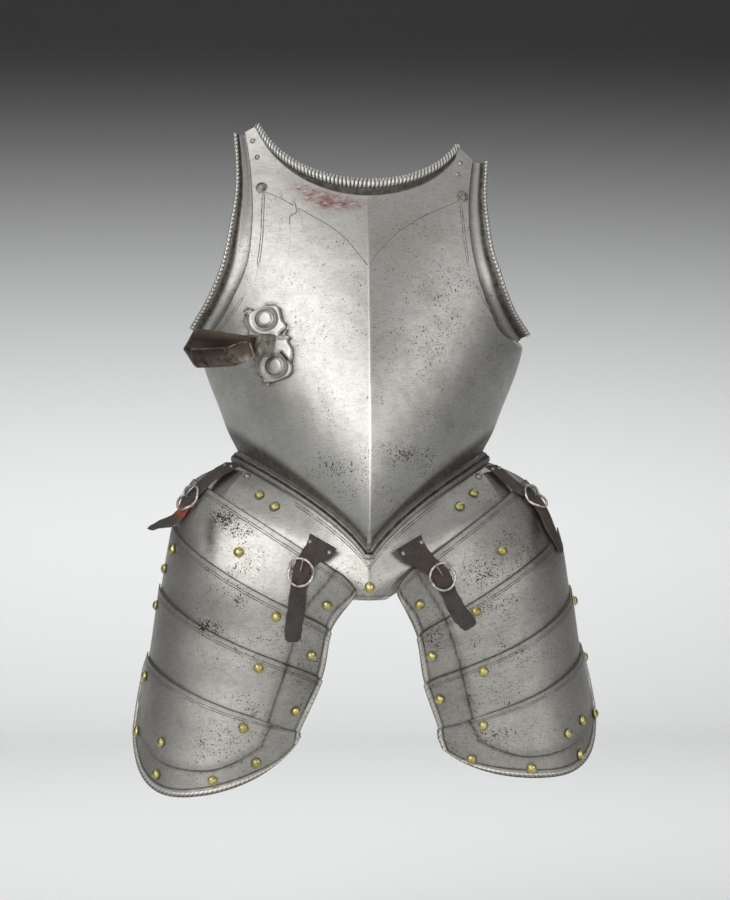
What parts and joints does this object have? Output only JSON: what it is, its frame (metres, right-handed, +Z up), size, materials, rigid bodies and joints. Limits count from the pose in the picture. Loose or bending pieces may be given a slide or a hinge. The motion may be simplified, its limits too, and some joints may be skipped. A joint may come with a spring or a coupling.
{
  "type": "cuirass",
  "caption": "Steel breastplate with a medial ridge, roped neck and arm edges, hinged lance rest, waist lame and two laminated thigh guards hung from buckled straps.",
  "frame": {"origin": "inside the hollow of the waist, on the line that joins the breastplate's two side edges at the height of the waist's side corners, where the wearer's body carries the piece", "axes": "+X towards the wearer's left, +Y towards the wearer's back, +Z up; the ridge faces -Y"},
  "size_m": [0.498, 0.1686, 0.7062],
  "materials": {
    "steel": "worn bright steel with grey patina and pitting",
    "dark_steel": "browned steel",
    "brass": "worn domed rivet heads",
    "iron": "dull iron wire, worn pale",
    "leather": "old dark brown strap leather"
  },
  "bodies": {
    "cuirass": {"breastplate": "steel", "fauld": "steel", "tasset_right_lame_1": "steel", "tasset_right_lame_2": "steel", "tasset_right_lame_3": "steel", "tasset_right_lame_4": "steel", "tasset_left_lame_1": "steel", "tasset_left_lame_2": "steel", "tasset_left_lame_3": "steel", "tasset_left_lame_4": "steel", "rivet_right_1": "brass", "rivet_right_2": "brass", "rivet_right_3": "brass", "rivet_right_4": "brass", "rivet_right_5": "brass", "rivet_right_6": "brass", "rivet_right_7": "brass", "rivet_right_8": "brass", "rivet_right_9": "brass", "rivet_right_10": "brass", "rivet_right_11": "brass", "rivet_right_12": "brass", "rivet_right_13": "brass", "rivet_right_14": "brass", "rivet_right_15": "brass", "rivet_right_16": "brass", "rivet_left_1": "brass", "rivet_left_2": "brass", "rivet_left_3": "brass", "rivet_left_4": "brass", "rivet_left_5": "brass", "rivet_left_6": "brass", "rivet_left_7": "brass", "rivet_left_8": "brass", "rivet_left_9": "brass", "rivet_left_10": "brass", "rivet_left_11": "brass", "rivet_left_12": "brass", "rivet_left_13": "brass", "rivet_left_14": "brass", "rivet_left_15": "brass", "rivet_fauld_1": "brass", "rivet_fauld_2": "brass", "rivet_fauld_3": "brass", "rivet_fauld_4": "brass", "rivet_fauld_5": "brass", "strap_inner_right": "leather", "buckle_inner_right": "iron", "strap_inner_left": "leather", "buckle_inner_left": "iron", "strap_outer_right": "leather", "buckle_outer_right": "iron", "strap_outer_left": "leather", "buckle_outer_left": "iron", "lance_rest_plate": "steel"},
    "lance_rest_arm": {"lance_rest_arm": "dark_steel"},
    "gusset_right": {"gusset_right": "steel"},
    "gusset_left": {"gusset_left": "steel"}
  },
  "joints": [
    {"name": "lance_rest_fold", "type": "hinge", "parent": "cuirass", "child": "lance_rest_arm", "pos_m": [-0.1155, -0.101, 0.113], "axis": [-0.7071, 0.7071, 0], "range_deg": [0, 80]},
    {"name": "gusset_right_swing", "type": "hinge", "parent": "cuirass", "child": "gusset_right", "pos_m": [-0.1064, -0.04489, 0.281], "axis": [-0.328, -0.8869, 0.3252], "range_deg": [0, 2]},
    {"name": "gusset_left_swing", "type": "hinge", "parent": "cuirass", "child": "gusset_left", "pos_m": [0.1055, -0.05071, 0.2727], "axis": [-0.3024, 0.8967, -0.3232], "range_deg": [0, 2]}
  ]
}
